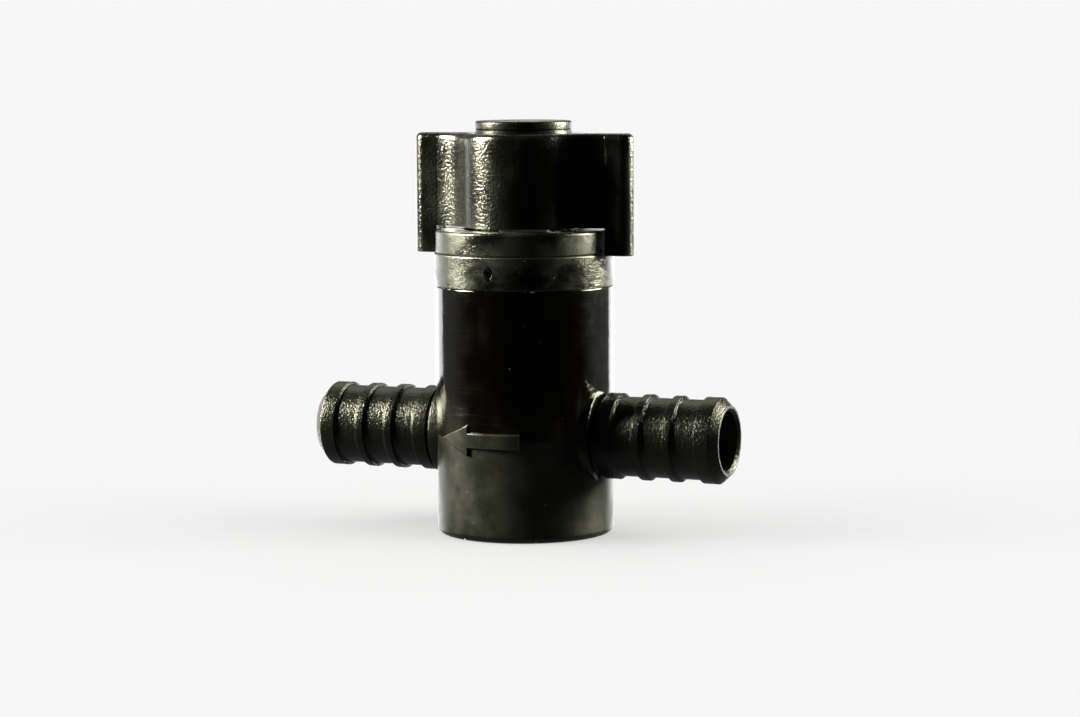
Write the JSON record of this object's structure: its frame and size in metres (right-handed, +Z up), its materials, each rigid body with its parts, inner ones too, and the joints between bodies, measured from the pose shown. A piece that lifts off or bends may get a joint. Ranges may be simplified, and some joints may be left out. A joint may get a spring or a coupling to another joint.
{
  "type": "barbed ball valve",
  "caption": "In-line quarter-turn ball valve for barbed hose, with a winged knob, grey collars and a raised flow arrow.",
  "frame": {"origin": "centre of the foot, on the surface the valve stands on", "axes": "+X along the pipe towards the inlet barb, -Y towards the raised flow arrow, +Z up along the stem"},
  "size_m": [0.062, 0.0259, 0.0587],
  "materials": {
    "black_body": "semi-gloss black moulding with fine scratches, matter below the parting line",
    "black_knob": "black moulding with a sparkling grain",
    "grey_ring": "dark grey, smeared and scuffed",
    "seal_rubber": "black nitrile",
    "seat_plastic": "white low-friction plastic",
    "ball_plastic": "polished white plastic",
    "stem_plastic": "natural acetal",
    "brass": "turned",
    "steel": "zinc plated"
  },
  "bodies": {
    "housing": {"valve_body": "black_body", "bonnet": "grey_ring", "stop_ring": "grey_ring", "bonnet_o_ring": "seal_rubber", "seat_inlet": "seat_plastic", "seat_outlet": "seat_plastic", "seat_o_ring_inlet": "seal_rubber", "seat_o_ring_outlet": "seal_rubber", "gland_bush": "stem_plastic"},
    "knob": {"handle": "black_knob", "handle_cap": "black_knob", "handle_screw": "steel", "handle_washer": "steel", "stem": "stem_plastic", "stem_insert": "brass", "stem_o_ring_lower": "seal_rubber", "stem_o_ring_upper": "seal_rubber", "thrust_washer": "seat_plastic"},
    "ball": {"ball": "ball_plastic"}
  },
  "joints": [
    {"name": "handle_turn", "type": "hinge", "parent": "housing", "child": "knob", "pos_m": [0, 0, 0.0434], "axis": [0, 0, -1], "range_deg": [0, 90]},
    {"name": "ball_turn", "type": "hinge", "parent": "housing", "child": "ball", "pos_m": [0, 0, 0.01435], "axis": [0, 0, -1], "range_deg": [0, 90]}
  ],
  "couplings": [
    {"joint": "ball_turn", "follows": "handle_turn", "ratio": 1}
  ]
}
